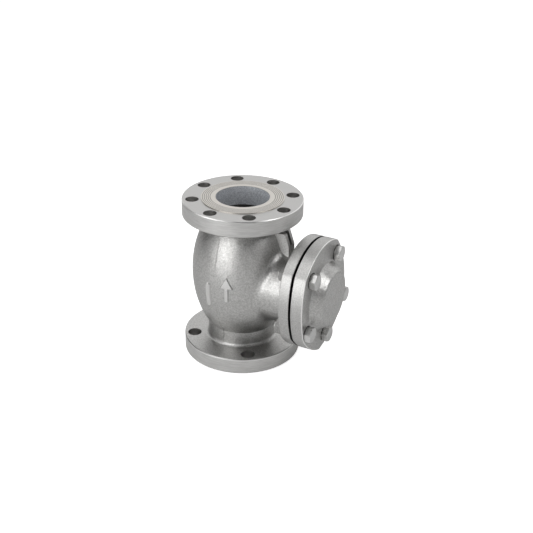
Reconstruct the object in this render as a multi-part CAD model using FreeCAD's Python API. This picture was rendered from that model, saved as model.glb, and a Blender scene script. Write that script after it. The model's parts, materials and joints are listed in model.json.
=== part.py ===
"""Flanged swing check valve, cast in stainless steel, with a bolted side cover.

Millimetres. The origin is the centre of the inlet port at its raised face. +Z is the way the
fluid flows, from inlet to outlet, and +X points out of the cover branch.
"""
import FreeCAD, Part
import math
import os

from FreeCAD import Vector

# Pipe flanges, with the port that runs through both
face_to_face = 322.0
port_dia = 102.0
flange_thickness = 31.0
raised_face_height = 1.6
bolt_circle_to_neck = 28.25
bolt_circle_to_rim = 19.25
bolt_hole_to_raised_face = 3.25
outlet_bolt_hole_dia = 25.0
inlet_bolt_hole_dia = 27.0
outlet_bolt_count = 8
inlet_bolt_count = 4
first_pipe_bolt_angle = -54.4
rim_chamfer = 1.4

# Cast body: a neck at each flange and a bulb between them
neck_wall = 16.0
inlet_neck_length = 31.0
outlet_neck_length = 9.0
bulb_radius = 97.0
bulb_wall = 11.0
neck_fillet = 6.0
neck_fillet_limit = 0.65
bulb_corner_fillet = 2.0
bulb_corner_limit = 0.25

# Cover branch and the pair of flanges that the cover bolts hold
branch_rise = 65.0
cover_opening_dia = 120.0
branch_wall = 10.0
branch_fillet = 22.0
branch_flange_start = 127.5
branch_flange_thickness = 21.2
cover_top_angle = 80.0
cover_top_distance = 109.5
cover_top_radius = 113.0
cover_side_radius = 160.0
left_side_angle = 187.5
left_side_distance = 97.8
low_left_side_angle = 220.5
low_left_side_distance = 102.0
low_right_side_angle = 298.5
low_right_side_distance = 105.5
right_side_angle = 12.5
right_side_distance = 94.8
cover_corner_radius = 18.0
cover_edge_round = 1.8

# Two ribs that tie the branch to the outlet flange
rib_thickness = 8.0
rib_gap = 8.0
rib_reach_at_flange = 88.5
rib_reach_at_branch = 104.5
rib_foot_height = 18.4
rib_root = 6.0
pipe_nut_room_dia = 37.0
pipe_nut_room_height = 20.0

# Cover, gasket and cover bolts
gasket_thickness = 3.3
gasket_width = 12.0
gasket_step = 1.0
cover_flange_thickness = 24.0
dome_foot_dia = 134.0
dome_top_dia = 104.0
dome_height = 20.4
dome_fillet = 4.0
dome_edge_round = 4.0
dome_wall = 12.0
cover_bolt_circle = 170.0
cover_bolt_angles = (57.0, 135.5, 211.5, 275.0, 338.5)
cover_bolt_dia = 18.0
cover_bolt_clearance = 0.5
cover_hex_across_flats = 27.0
cover_head_height = 12.5
cover_head_turn = 42.0
washer_face_height = 0.8
washer_face_share = 0.95
cover_nut_height = 13.0
cover_nut_turn = 30.0
cover_bolt_end = 3.5
thread_clearance = 0.15
spot_face_margin = 1.0
bolt_tip_chamfer_share = 0.06
hex_top_share = 0.94
hex_corner_drop_share = 0.6

# Seat ring in the floor of the chamber
seat_web_height = 28.0
seat_ring_width = 9.0
seat_pocket_depth = 8.0
seat_ring_stand = 5.0
seat_chamfer = 1.5
ring_clearance = 0.05

# Disc and what holds it on the arm
seat_gap = 0.3
disc_overlap = 7.0
disc_rim_thickness = 7.0
disc_thickness = 10.0
disc_dish_depth = 2.0
disc_dish_margin = 4.0
disc_dish_slope = 6.0
disc_boss_dia = 44.0
disc_boss_slope = 6.0
disc_edge = 1.0
stud_dia = 20.0
running_clearance = 0.08
face_gap = 0.3
disc_washer_dia = 37.0
disc_washer_thickness = 3.0
disc_nut_across_flats = 30.0
disc_nut_height = 16.0
stud_end = 7.0
disc_split_pin_dia = 3.2
disc_split_pin_stand = 1.5

# Swing arm and its hinge
hinge_x = 70.0
hinge_rise = 7.0
arm_hub_dia = 38.0
arm_thickness = 13.0
arm_waist_width = 22.0
hinge_hub_dia = 24.0
hinge_hub_width = 18.0
hinge_pin_dia = 13.0
bush_wall = 2.0
bush_collar = 1.2
bush_collar_thickness = 1.4
open_angle = 70.0
stop_angle = 20.0
stop_finger_width = 9.0
stop_finger_thickness = 8.0
stop_gap = 0.4

# Hinge bracket on its ledge in the branch
bracket_ear_thickness = 8.0
bracket_ear_gap = 0.4
bracket_ear_radius = 11.0
bracket_base_thickness = 7.0
bracket_base_margin = 5.5
hub_to_base_gap = 2.5
bracket_screw_reach = 24.0
bracket_screw_side = 14.5
bracket_end_margin = 10.0
bracket_pocket_clearance = 1.0
bracket_screw_dia = 8.0
bracket_screw_depth = 9.0
bracket_screw_end_gap = 1.0
bracket_hex_across_flats = 13.0
bracket_head_height = 5.5
bracket_washer_dia = 13.5
bracket_washer_thickness = 2.0
bracket_washer_slot = 1.2
bracket_hole_clearance = 0.4
pin_washer_dia = 22.0
pin_washer_thickness = 1.5
pin_end = 5.0
pin_split_pin_dia = 2.5
pin_split_pin_stand = 1.0
split_pin_leg = 5.0
split_pin_leg_share = 0.8
split_pin_eye_share = 0.9
split_pin_clearance = 0.1

# How far a cut or a joined piece runs past the face that it meets
past = 1.0

# Heights along the flow axis that the sizes above give
flange_back_low = raised_face_height + flange_thickness
flange_back_high = face_to_face - flange_back_low
port_radius = port_dia / 2
neck_radius = port_radius + neck_wall
pipe_bolt_radius = neck_radius + bolt_circle_to_neck
flange_radius = pipe_bolt_radius + bolt_circle_to_rim
widest_bolt_hole = max(inlet_bolt_hole_dia, outlet_bolt_hole_dia)
raised_face_radius = pipe_bolt_radius - widest_bolt_hole / 2 - bolt_hole_to_raised_face
bulb_low = flange_back_low + inlet_neck_length
bulb_high = flange_back_high - outlet_neck_length
bulb_centre = (bulb_low + bulb_high) / 2
bulb_half_height = (bulb_high - bulb_low) / 2 / math.sqrt(1 - (neck_radius / bulb_radius) ** 2)
chamber_radius = bulb_radius - bulb_wall
chamber_half_height = bulb_half_height - bulb_wall
chamber_floor = bulb_low + seat_web_height
branch_height = chamber_floor + branch_rise
opening_radius = cover_opening_dia / 2
branch_radius = opening_radius + branch_wall

# Places along the branch
branch_face = branch_flange_start + branch_flange_thickness
cover_back = branch_face + gasket_thickness
cover_front = cover_back + cover_flange_thickness
dome_front = cover_front + dome_height
cover_bolt_radius = cover_bolt_circle / 2

# Stack of pieces from the seat up along the disc stud
seat_radius = port_radius + seat_ring_width
seat_face = chamber_floor + seat_ring_stand
disc_radius = port_radius + disc_overlap
disc_bottom = seat_face + seat_gap
disc_top = disc_bottom + disc_thickness
arm_bottom = disc_top + face_gap
arm_top = arm_bottom + arm_thickness
washer_bottom = arm_top + face_gap
nut_bottom = washer_bottom + disc_washer_thickness
nut_top = nut_bottom + disc_nut_height
stud_top = nut_top + stud_end
stud_radius = stud_dia / 2

# Hinge
hinge_z = (arm_bottom + arm_top) / 2 + hinge_rise
pin_radius = hinge_pin_dia / 2
bush_radius = pin_radius + running_clearance + bush_wall
ear_inside = hinge_hub_width / 2 + bracket_ear_gap
ear_outside = ear_inside + bracket_ear_thickness
base_top = hinge_z - hinge_hub_dia / 2 - hub_to_base_gap
ledge = base_top - bracket_base_thickness
base_half_width = ear_outside + bracket_base_margin
base_start = hinge_x - bracket_ear_radius
base_end = hinge_x + bracket_screw_reach + bracket_end_margin
pin_washer_start = ear_outside + face_gap
pin_split_place = pin_washer_start + pin_washer_thickness + pin_split_pin_dia / 2 + face_gap
pin_half_length = pin_split_place + pin_end

X = Vector(1, 0, 0)
Y = Vector(0, 1, 0)
Z = Vector(0, 0, 1)
ORIGIN = Vector(0, 0, 0)


def cylinder(radius, start, direction, length):
    """Round bar from a start point along a direction."""
    return Part.makeCylinder(radius, length, start, direction)


def ring(inner, outer, start, direction, length):
    """Round bar with a hole along its middle."""
    return cylinder(outer, start, direction, length).cut(cylinder(inner, start, direction, length))


def block(low, high):
    """Box between two opposite corners, each given as three numbers."""
    size = [b - a for a, b in zip(low, high)]
    return Part.makeBox(size[0], size[1], size[2], Vector(*low))


def turned(edges):
    """Solid turned about the flow axis from a closed outline in the XZ plane."""
    face = Part.Face(Part.Wire(Part.__sortEdges__(edges)))
    return face.revolve(ORIGIN, Z, 360)


def lines(points):
    """Straight edges through (radius, height) points."""
    corners = [Vector(r, 0, z) for r, z in points]
    return [Part.makeLine(a, b) for a, b in zip(corners, corners[1:])]


def turned_points(points):
    """Solid turned about the flow axis from corner points alone."""
    return turned(lines(list(points) + [points[0]]))


def egg_arc(radius, half_height, low, high):
    """Side of an upright ellipse about the bulb centre, between two heights."""
    centre = Vector(0, 0, bulb_centre)
    ellipse = Part.Ellipse(centre + Z * half_height, centre + X * radius, centre)
    at_high = math.acos((high - bulb_centre) / half_height)
    at_low = math.acos((low - bulb_centre) / half_height)
    return Part.ArcOfEllipse(ellipse, at_high, at_low).toShape()


def egg_height(radius, half_height, at_radius):
    """How far above or below the bulb centre the ellipse has a given radius."""
    return half_height * math.sqrt(1 - (at_radius / radius) ** 2)


def edges_where(solid, test):
    """Edges of a solid whose middle point passes a test."""
    found = []
    for edge in solid.Edges:
        middle = edge.valueAt((edge.FirstParameter + edge.LastParameter) / 2)
        if test(middle):
            found.append(edge)
    return found


def near(a, b):
    return abs(a - b) < 0.01


def around_z(angle, radius, height=0.0):
    """Point at an angle about the flow axis."""
    turn = math.radians(angle)
    return Vector(radius * math.cos(turn), radius * math.sin(turn), height)


def on_cover(angle, radius, x):
    """Point on the cover's face: the angle starts at +Y and turns towards +Z."""
    turn = math.radians(angle)
    return Vector(x, radius * math.cos(turn), branch_height + radius * math.sin(turn))


def from_branch_axis(point):
    return math.hypot(point.y, point.z - branch_height)


def hex_bar(across_flats, start, direction, length, turn=0.0, both_ends=False):
    """Hexagon bar with its corners turned down at the far end, or at both ends."""
    corner = across_flats / math.sqrt(3)
    points = []
    for k in range(7):
        angle = math.radians(60 * k + 30)
        points.append(Vector(corner * math.cos(angle), corner * math.sin(angle), 0))
    bar = Part.Face(Part.makePolygon(points)).extrude(Z * length)
    top = across_flats / 2 * hex_top_share
    drop = (corner - across_flats / 2) * hex_corner_drop_share
    outline = [(0, 0), (corner, 0), (corner, length - drop), (top, length), (0, length)]
    if both_ends:
        outline[1:2] = [(top, 0), (corner, drop)]
    bar = bar.common(turned_points(outline))
    bar.rotate(ORIGIN, Z, turn)
    place = FreeCAD.Placement(start, FreeCAD.Rotation(Z, direction))
    bar.Placement = place.multiply(bar.Placement)
    return bar


def hex_bolt(start, direction, length, dia, across_flats, head_height, turn=0.0):
    """Bolt whose shank runs along the direction from the seat of its head."""
    head = hex_bar(across_flats, start, direction * -1, head_height, turn)
    shank = cylinder(dia / 2, start, direction, length)
    tip = edges_where(shank, lambda p: near((p - start).dot(direction), length))
    return head.fuse(shank.makeChamfer(dia * bolt_tip_chamfer_share, tip)).removeSplitter()


def split_pin(centre, along, bend, dia, reach):
    """Split pin through a cross hole, with an eye at one end and two bent legs at the other."""
    wire_radius = dia / 2 * split_pin_leg_share
    stem = cylinder(dia / 2, centre - along * reach, along, 2 * reach)
    eye_centre = centre - along * (reach + dia * split_pin_eye_share)
    eye = Part.makeTorus(dia, wire_radius, eye_centre, along.cross(bend))
    leg_start = centre + along * reach
    left = cylinder(wire_radius, leg_start, (along + bend).normalize(), split_pin_leg)
    right = cylinder(wire_radius, leg_start, (along - bend).normalize(), split_pin_leg)
    return stem.fuse([eye, left, right]).removeSplitter()


def side_disc(x, angle, distance, radius):
    """Disc across the branch axis whose edge crosses the angle's direction at a distance from the axis."""
    return Part.Face(Part.Wire(Part.makeCircle(radius, on_cover(angle, distance - radius, x), X)))


def cover_plate(start, thickness):
    """Flange with five bulging sides and rounded corners: the overlap of five wide discs."""
    outline = side_disc(start, cover_top_angle, cover_top_distance, cover_top_radius)
    sides = ((left_side_angle, left_side_distance), (low_left_side_angle, low_left_side_distance),
             (low_right_side_angle, low_right_side_distance), (right_side_angle, right_side_distance))
    for angle, distance in sides:
        outline = outline.common(side_disc(start, angle, distance, cover_side_radius))
    rounded = outline.Faces[0].makeOffset2D(-cover_corner_radius).makeOffset2D(cover_corner_radius)
    plate = rounded.extrude(X * thickness)
    rims = edges_where(plate, lambda p: near(p.x, start) or near(p.x, start + thickness))
    return plate.makeFillet(cover_edge_round, rims)


def cover_bolt_holes(start, length):
    """Bars that cut the holes for the cover bolts through one flange."""
    radius = cover_bolt_dia / 2 + cover_bolt_clearance
    places = [on_cover(angle, cover_bolt_radius, start - past) for angle in cover_bolt_angles]
    return [cylinder(radius, place, X, length + 2 * past) for place in places]


def nut_spot_faces():
    """Bars that clear the casting round each nut behind the branch flange."""
    radius = cover_hex_across_flats / math.sqrt(3) + spot_face_margin
    depth = cover_nut_height + cover_bolt_end + spot_face_margin
    places = [on_cover(angle, cover_bolt_radius, branch_flange_start) for angle in cover_bolt_angles]
    return [cylinder(radius, place, X * -1, depth) for place in places]


def pipe_bolt_places(count, height):
    """Centres of one flange's bolt holes at a height."""
    return [around_z(first_pipe_bolt_angle + 360.0 * k / count, pipe_bolt_radius, height)
            for k in range(count)]


def pipe_bolt_holes(count, dia, start):
    """Bars that cut one flange's circle of bolt holes."""
    return [cylinder(dia / 2, place, Z, flange_back_low + 2 * past)
            for place in pipe_bolt_places(count, start - past)]


def flange_side(sign, face):
    """Outline points of one pipe flange, from its raised face to its back."""
    inner = face + sign * raised_face_height
    back = inner + sign * flange_thickness
    rim = flange_radius
    return [(0, face), (raised_face_radius, face), (raised_face_radius, inner),
            (rim - rim_chamfer, inner), (rim, inner + sign * rim_chamfer),
            (rim, back - sign * rim_chamfer), (rim - rim_chamfer, back), (neck_radius, back)]


def body_outside():
    """Flanges, necks and bulb turned in one, with the branch blended into the bulb."""
    low = flange_side(1, 0.0) + [(neck_radius, bulb_low)]
    high = flange_side(-1, face_to_face) + [(neck_radius, bulb_high)]
    side = egg_arc(bulb_radius, bulb_half_height, bulb_low, bulb_high)
    shell = turned(lines(low) + [side] + lines(high) + lines([(0, face_to_face), (0, 0)]))
    for corner, back, length in ((bulb_low, flange_back_low, inlet_neck_length),
                                 (bulb_high, flange_back_high, outlet_neck_length)):
        at_flange = edges_where(shell, lambda p: near(p.z, back) and near(math.hypot(p.x, p.y), neck_radius))
        shell = shell.makeFillet(min(neck_fillet, length * neck_fillet_limit), at_flange)
        at_bulb = edges_where(shell, lambda p: near(p.z, corner) and near(math.hypot(p.x, p.y), neck_radius))
        shell = shell.makeFillet(min(bulb_corner_fillet, length * bulb_corner_limit), at_bulb)
    branch = cylinder(branch_radius, Vector(0, 0, branch_height), X, branch_flange_start)
    joined = shell.fuse(branch)
    seam = edges_where(joined, lambda p: near(from_branch_axis(p), branch_radius)
                       and p.x < branch_flange_start - past)
    return joined.makeFillet(branch_fillet, seam)


def ribs():
    """Two plates under the outlet flange with a shared foot on the branch, cut clear of the bolt nuts."""
    top = flange_back_high + past
    low = branch_height + branch_radius - rib_root
    foot_top = branch_height + branch_radius + rib_foot_height
    inside = neck_radius - neck_wall / 2
    outline = [Vector(inside, 0, top), Vector(rib_reach_at_flange, 0, top),
               Vector(rib_reach_at_branch, 0, foot_top), Vector(rib_reach_at_branch, 0, low),
               Vector(inside, 0, low), Vector(inside, 0, top)]
    face = Part.Face(Part.makePolygon(outline))
    foot = block((inside, -rib_gap / 2, low), (rib_reach_at_branch, rib_gap / 2, foot_top))
    plates = []
    for front in (-rib_gap / 2 - rib_thickness, rib_gap / 2):
        plate = face.extrude(Y * rib_thickness)
        plate.translate(Y * front)
        plates.append(plate)
    pair = plates[0].fuse([foot, plates[1]]).removeSplitter()
    rooms = [cylinder(pipe_nut_room_dia / 2, place, Z, pipe_nut_room_height + 2 * past)
             for place in pipe_bolt_places(outlet_bolt_count, flange_back_high - pipe_nut_room_height)]
    return pair.cut(rooms)


def chamber():
    """Hollow of the body: both ports, the chamber and the pocket for the seat ring."""
    reach = egg_height(chamber_radius, chamber_half_height, port_radius)
    floor_radius = chamber_radius * math.sqrt(
        1 - ((chamber_floor - bulb_centre) / chamber_half_height) ** 2)
    side = egg_arc(chamber_radius, chamber_half_height, chamber_floor, bulb_centre + reach)
    pocket = chamber_floor - seat_pocket_depth
    low = lines([(0, -past), (port_radius, -past), (port_radius, pocket), (seat_radius, pocket),
                 (seat_radius, chamber_floor), (floor_radius, chamber_floor)])
    high = lines([(port_radius, bulb_centre + reach), (port_radius, face_to_face + past),
                  (0, face_to_face + past), (0, -past)])
    return turned(low + [side] + high)


def bracket_screw_places(height):
    x = hinge_x + bracket_screw_reach
    return [Vector(x, side * bracket_screw_side, height) for side in (-1, 1)]


def valve_body():
    """The casting: outside, hollow, bolt holes and the machined ledge for the bracket."""
    outside = body_outside()
    flange = cover_plate(branch_flange_start, branch_flange_thickness)
    outside = outside.fuse([flange, ribs()])
    opening = cylinder(opening_radius, Vector(0, 0, branch_height), X, branch_face + past)
    body = outside.cut([chamber(), opening])
    half = base_half_width + bracket_pocket_clearance
    end = base_end + bracket_pocket_clearance
    pad_start = max(base_start, seat_radius + past)
    pad = block((pad_start, -half, chamber_floor - past), (end, half, ledge)).common(outside)
    pocket = block((pad_start, -half, ledge), (end, half, hinge_z))
    body = body.fuse(pad).cut(pocket)
    body = body.cut(nut_spot_faces() + cover_bolt_holes(branch_flange_start, branch_flange_thickness))
    holes = pipe_bolt_holes(inlet_bolt_count, inlet_bolt_hole_dia, 0)
    holes += pipe_bolt_holes(outlet_bolt_count, outlet_bolt_hole_dia, flange_back_high)
    screws = [cylinder(bracket_screw_dia / 2 + thread_clearance, place, Z, bracket_screw_depth + past)
              for place in bracket_screw_places(ledge - bracket_screw_depth)]
    return body.cut(holes + screws).removeSplitter()


def seat_ring():
    """Ring pressed into the chamber floor, its top the seat that the disc closes on."""
    low = chamber_floor - seat_pocket_depth
    outer = seat_radius - ring_clearance
    return turned_points([(port_radius, low), (outer, low), (outer, seat_face - seat_chamfer),
                          (outer - seat_chamfer, seat_face), (port_radius, seat_face)])


def bonnet_cover():
    """Cover with a hollow dome that bolts onto the branch flange."""
    plate = cover_plate(cover_back, cover_flange_thickness)
    foot = Vector(cover_front - past, 0, branch_height)
    slope = (dome_foot_dia - dome_top_dia) / 2 / dome_height
    dome = Part.makeCone(dome_foot_dia / 2 + slope * past, dome_top_dia / 2, dome_height + past, foot, X)
    cover = plate.fuse(dome)
    at_foot = edges_where(cover, lambda p: near(p.x, cover_front)
                          and near(from_branch_axis(p), dome_foot_dia / 2))
    cover = cover.makeFillet(dome_fillet, at_foot)
    at_top = edges_where(cover, lambda p: near(p.x, dome_front))
    cover = cover.makeFillet(dome_edge_round, at_top)
    depth = dome_front - dome_wall - cover_back
    hollow = Part.makeCone(dome_foot_dia / 2 - dome_wall, dome_top_dia / 2 - dome_wall, depth,
                           Vector(cover_back, 0, branch_height), X)
    hollow_end = edges_where(hollow, lambda p: near(p.x, cover_back + depth))
    hollow = hollow.makeFillet(dome_wall / 2, hollow_end)
    return cover.cut([hollow] + cover_bolt_holes(cover_back, cover_flange_thickness))


def cover_gasket():
    """Flat ring between the flanges, inside the circle of bolts."""
    inner = opening_radius + gasket_step
    return ring(inner, inner + gasket_width, Vector(branch_face, 0, branch_height), X, gasket_thickness)


def cover_bolts():
    """Hex head bolts, each with a thin round washer face between its head and the cover."""
    length = cover_front - branch_flange_start + cover_nut_height + cover_bolt_end
    bolts = []
    for angle in cover_bolt_angles:
        seat = on_cover(angle, cover_bolt_radius, cover_front)
        bolt = hex_bolt(seat + X * washer_face_height, X * -1, length + washer_face_height, cover_bolt_dia,
                        cover_hex_across_flats, cover_head_height - washer_face_height, cover_head_turn)
        face = cylinder(cover_hex_across_flats / 2 * washer_face_share, seat, X, washer_face_height)
        bolts.append(bolt.fuse(face).removeSplitter())
    return bolts


def cover_nuts():
    """Hex nuts behind the branch flange."""
    nuts = []
    for angle in cover_bolt_angles:
        start = on_cover(angle, cover_bolt_radius, branch_flange_start)
        bar = hex_bar(cover_hex_across_flats, start, X * -1, cover_nut_height, cover_nut_turn, True)
        hole = cylinder(cover_bolt_dia / 2 + thread_clearance, start, X * -1, cover_nut_height)
        nuts.append(bar.cut(hole))
    return nuts


def disc():
    """Closing plate with its stud: a dished underside, a thicker middle and a cross hole."""
    boss = disc_boss_dia / 2
    dish = port_radius - disc_dish_margin
    dish_top = disc_bottom + disc_dish_depth
    rim_top = disc_bottom + disc_rim_thickness
    plate = turned_points([
        (0, dish_top), (dish - disc_dish_slope, dish_top), (dish, disc_bottom),
        (disc_radius - disc_edge, disc_bottom), (disc_radius, disc_bottom + disc_edge),
        (disc_radius, rim_top - disc_edge), (disc_radius - disc_edge, rim_top),
        (boss + disc_boss_slope, rim_top), (boss, disc_top), (stud_radius, disc_top),
        (stud_radius, stud_top - disc_edge), (stud_radius - disc_edge, stud_top), (0, stud_top)])
    hole = disc_split_pin_dia / 2 + split_pin_clearance
    return plate.cut(cylinder(hole, Vector(0, -stud_dia, disc_pin_height()), Y, 2 * stud_dia))


def disc_pin_height():
    """Height of the split pin, which just clears the nut."""
    return nut_top + disc_split_pin_dia / 2 + face_gap


def disc_washer():
    inner = stud_radius + thread_clearance
    return ring(inner, disc_washer_dia / 2, Z * washer_bottom, Z, disc_washer_thickness)


def disc_nut():
    bar = hex_bar(disc_nut_across_flats, Z * nut_bottom, Z, disc_nut_height)
    return bar.cut(cylinder(stud_radius + thread_clearance, Z * nut_bottom, Z, disc_nut_height))


def disc_split_pin():
    return split_pin(Z * disc_pin_height(), Y, X, disc_split_pin_dia, stud_radius + disc_split_pin_stand)


def swing_arm():
    """Arm from the disc stud to the hinge, with the finger that stops it when open."""
    hub = cylinder(arm_hub_dia / 2, Z * arm_bottom, Z, arm_thickness)
    half_hub = arm_hub_dia / 2
    half_waist = arm_waist_width / 2
    half_hinge = hinge_hub_width / 2
    waist_x = hinge_x - hinge_hub_dia / 2 - half_waist
    neck_x = hinge_x - hinge_hub_dia / 2
    plan = [(0, -half_hub), (waist_x, -half_waist), (neck_x, -half_hinge), (hinge_x, -half_hinge),
            (hinge_x, half_hinge), (neck_x, half_hinge), (waist_x, half_waist), (0, half_hub)]
    outline = [Vector(x, y, arm_bottom) for x, y in plan]
    web = Part.Face(Part.makePolygon(outline + [outline[0]])).extrude(Z * arm_thickness)
    knuckle = cylinder(hinge_hub_dia / 2, Vector(hinge_x, -half_hinge, hinge_z), Y, hinge_hub_width)
    arm = hub.fuse([web, knuckle, stop_finger()])
    bush_seat = bush_radius + ring_clearance
    bores = [cylinder(stud_radius + running_clearance, Z * (arm_bottom - past), Z, arm_thickness + 2 * past),
             cylinder(bush_seat, Vector(hinge_x, -half_hinge, hinge_z), Y, hinge_hub_width)]
    return arm.cut(bores + bush_recesses()).removeSplitter()


def stop_finger():
    """Finger on the knuckle that meets the bracket's base when the arm is fully open."""
    tip = stop_finger_thickness / 2
    reach = (hinge_z - base_top - stop_gap - tip) / math.sin(math.radians(stop_angle))
    low = Vector(hinge_x, -stop_finger_width / 2, hinge_z - tip)
    bar = block((low.x, low.y, low.z), (hinge_x + reach, -low.y, hinge_z + tip))
    nose = cylinder(tip, Vector(hinge_x + reach, low.y, hinge_z), Y, stop_finger_width)
    finger = bar.fuse(nose)
    finger.rotate(Vector(hinge_x, 0, hinge_z), Y, stop_angle - open_angle)
    return finger


def bush_recesses():
    """Recesses in the knuckle's ends for the collars of the bushes."""
    radius = bush_radius + bush_collar + ring_clearance
    return [cylinder(radius, Vector(hinge_x, side * (hinge_hub_width / 2 - bush_collar_thickness), hinge_z),
                     Y * side, bush_collar_thickness + past) for side in (-1, 1)]


def arm_bush(side):
    """Collared bush in one end of the knuckle: side is -1 or 1 along Y."""
    end = side * hinge_hub_width / 2
    collar_start = Vector(hinge_x, end - side * bush_collar_thickness, hinge_z)
    sleeve_start = Vector(hinge_x, side * face_gap / 2, hinge_z)
    sleeve = cylinder(bush_radius, sleeve_start, Y * side, hinge_hub_width / 2 - face_gap / 2)
    collar = cylinder(bush_radius + bush_collar, collar_start, Y * side, bush_collar_thickness)
    bore = cylinder(pin_radius + running_clearance, Vector(hinge_x, 0, hinge_z), Y * side, hinge_hub_width)
    return sleeve.fuse(collar).cut(bore).removeSplitter()


def hinge_bracket():
    """Yoke screwed to the ledge: a base plate and two ears that hold the pin."""
    base = block((base_start, -base_half_width, ledge), (base_end, base_half_width, base_top))
    pieces = []
    for side in (-1, 1):
        inner = min(side * ear_inside, side * ear_outside)
        outer = max(side * ear_inside, side * ear_outside)
        web = block((hinge_x - bracket_ear_radius, inner, base_top - past),
                    (hinge_x + bracket_ear_radius, outer, hinge_z))
        crown = cylinder(bracket_ear_radius, Vector(hinge_x, inner, hinge_z), Y, bracket_ear_thickness)
        pieces += [web, crown]
    pin_hole = cylinder(pin_radius + ring_clearance, Vector(hinge_x, -base_half_width, hinge_z), Y,
                        2 * base_half_width)
    screw_holes = [cylinder(bracket_screw_dia / 2 + bracket_hole_clearance, place, Z,
                            bracket_base_thickness + 2 * past)
                   for place in bracket_screw_places(ledge - past)]
    return base.fuse(pieces).cut([pin_hole] + screw_holes).removeSplitter()


def bracket_screws():
    length = bracket_washer_thickness + bracket_base_thickness + bracket_screw_depth - bracket_screw_end_gap
    seat = base_top + bracket_washer_thickness
    return [hex_bolt(place, Z * -1, length, bracket_screw_dia, bracket_hex_across_flats, bracket_head_height)
            for place in bracket_screw_places(seat)]


def bracket_lock_washers():
    """Spring washers under the screw heads, each with its slot."""
    washers = []
    for place in bracket_screw_places(base_top):
        washer = ring(bracket_screw_dia / 2 + thread_clearance, bracket_washer_dia / 2, place, Z,
                      bracket_washer_thickness)
        slot = block((place.x, place.y - bracket_washer_slot / 2, place.z - past),
                     (place.x + bracket_washer_dia, place.y + bracket_washer_slot / 2,
                      place.z + bracket_washer_thickness + past))
        washers.append(washer.cut(slot))
    return washers


def hinge_pin():
    """Plain pin with a cross hole near each end."""
    pin = cylinder(pin_radius, Vector(hinge_x, -pin_half_length, hinge_z), Y, 2 * pin_half_length)
    ends = edges_where(pin, lambda p: near(abs(p.y), pin_half_length))
    pin = pin.makeChamfer(hinge_pin_dia * bolt_tip_chamfer_share, ends)
    hole = pin_split_pin_dia / 2 + split_pin_clearance
    holes = [cylinder(hole, Vector(hinge_x, side * pin_split_place, hinge_z - hinge_pin_dia), Z,
                      2 * hinge_pin_dia) for side in (-1, 1)]
    return pin.cut(holes)


def hinge_pin_washers():
    return [ring(pin_radius + thread_clearance, pin_washer_dia / 2,
                 Vector(hinge_x, side * pin_washer_start, hinge_z), Y * side, pin_washer_thickness)
            for side in (-1, 1)]


def hinge_pin_split_pins():
    reach = pin_radius + pin_split_pin_stand
    return [split_pin(Vector(hinge_x, side * pin_split_place, hinge_z), Z, X, pin_split_pin_dia, reach)
            for side in (-1, 1)]


def nodes():
    """Every sub-part by name: one solid, or a list of alike solids."""
    return {
        "valve_body": valve_body(),
        "seat_ring": seat_ring(),
        "bonnet_cover": bonnet_cover(),
        "cover_gasket": cover_gasket(),
        "cover_bolts": cover_bolts(),
        "cover_nuts": cover_nuts(),
        "hinge_bracket": hinge_bracket(),
        "bracket_screws": bracket_screws(),
        "bracket_lock_washers": bracket_lock_washers(),
        "hinge_pin": hinge_pin(),
        "hinge_pin_washers": hinge_pin_washers(),
        "hinge_pin_split_pins": hinge_pin_split_pins(),
        "swing_arm": swing_arm(),
        "arm_bush_left": arm_bush(-1),
        "arm_bush_right": arm_bush(1),
        "disc": disc(),
        "disc_washer": disc_washer(),
        "disc_nut": disc_nut(),
        "disc_split_pin": disc_split_pin(),
    }


os.makedirs("parts", exist_ok=True)
for name, made in nodes().items():
    if isinstance(made, list):
        made = Part.makeCompound(made)
    made.exportStep("parts/" + name + ".step")
    print(name, len(made.Solids), made.isValid(), round(made.Volume))
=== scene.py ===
"""Finish, cast and machined detail, and studio for a flanged swing check valve. Metres.

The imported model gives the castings, the bolting and the inner parts at their real sizes. Here each
gets its finish, and the marks that casting, turning and thread cutting leave are added as surfaces
of their own: the mould's parting line, a cast flow arrow and a blank name pad, the turned rings of
the raised faces, and the threads of the cover bolts and of the disc's stud. +Z is the way the fluid
flows, and +X points out of the cover branch.
"""
import json
import math

import bpy
import numpy as np
from mathutils import Matrix, Vector

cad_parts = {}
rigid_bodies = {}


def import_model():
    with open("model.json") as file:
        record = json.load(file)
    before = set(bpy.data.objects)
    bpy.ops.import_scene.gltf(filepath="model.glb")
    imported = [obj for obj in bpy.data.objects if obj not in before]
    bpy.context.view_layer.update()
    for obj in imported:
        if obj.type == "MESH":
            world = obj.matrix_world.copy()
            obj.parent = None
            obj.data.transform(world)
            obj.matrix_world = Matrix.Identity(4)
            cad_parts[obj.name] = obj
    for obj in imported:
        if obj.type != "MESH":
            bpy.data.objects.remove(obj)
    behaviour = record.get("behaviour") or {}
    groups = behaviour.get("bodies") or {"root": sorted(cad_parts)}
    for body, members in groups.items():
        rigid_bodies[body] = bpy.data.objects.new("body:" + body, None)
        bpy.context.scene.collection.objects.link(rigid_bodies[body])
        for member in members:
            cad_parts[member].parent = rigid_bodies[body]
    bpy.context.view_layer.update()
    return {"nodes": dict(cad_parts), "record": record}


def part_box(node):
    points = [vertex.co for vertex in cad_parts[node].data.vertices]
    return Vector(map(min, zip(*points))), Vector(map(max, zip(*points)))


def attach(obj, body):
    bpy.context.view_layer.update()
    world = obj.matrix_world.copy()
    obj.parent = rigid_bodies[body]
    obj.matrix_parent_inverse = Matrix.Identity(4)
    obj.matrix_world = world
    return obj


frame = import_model()

MM = 0.001

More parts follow.
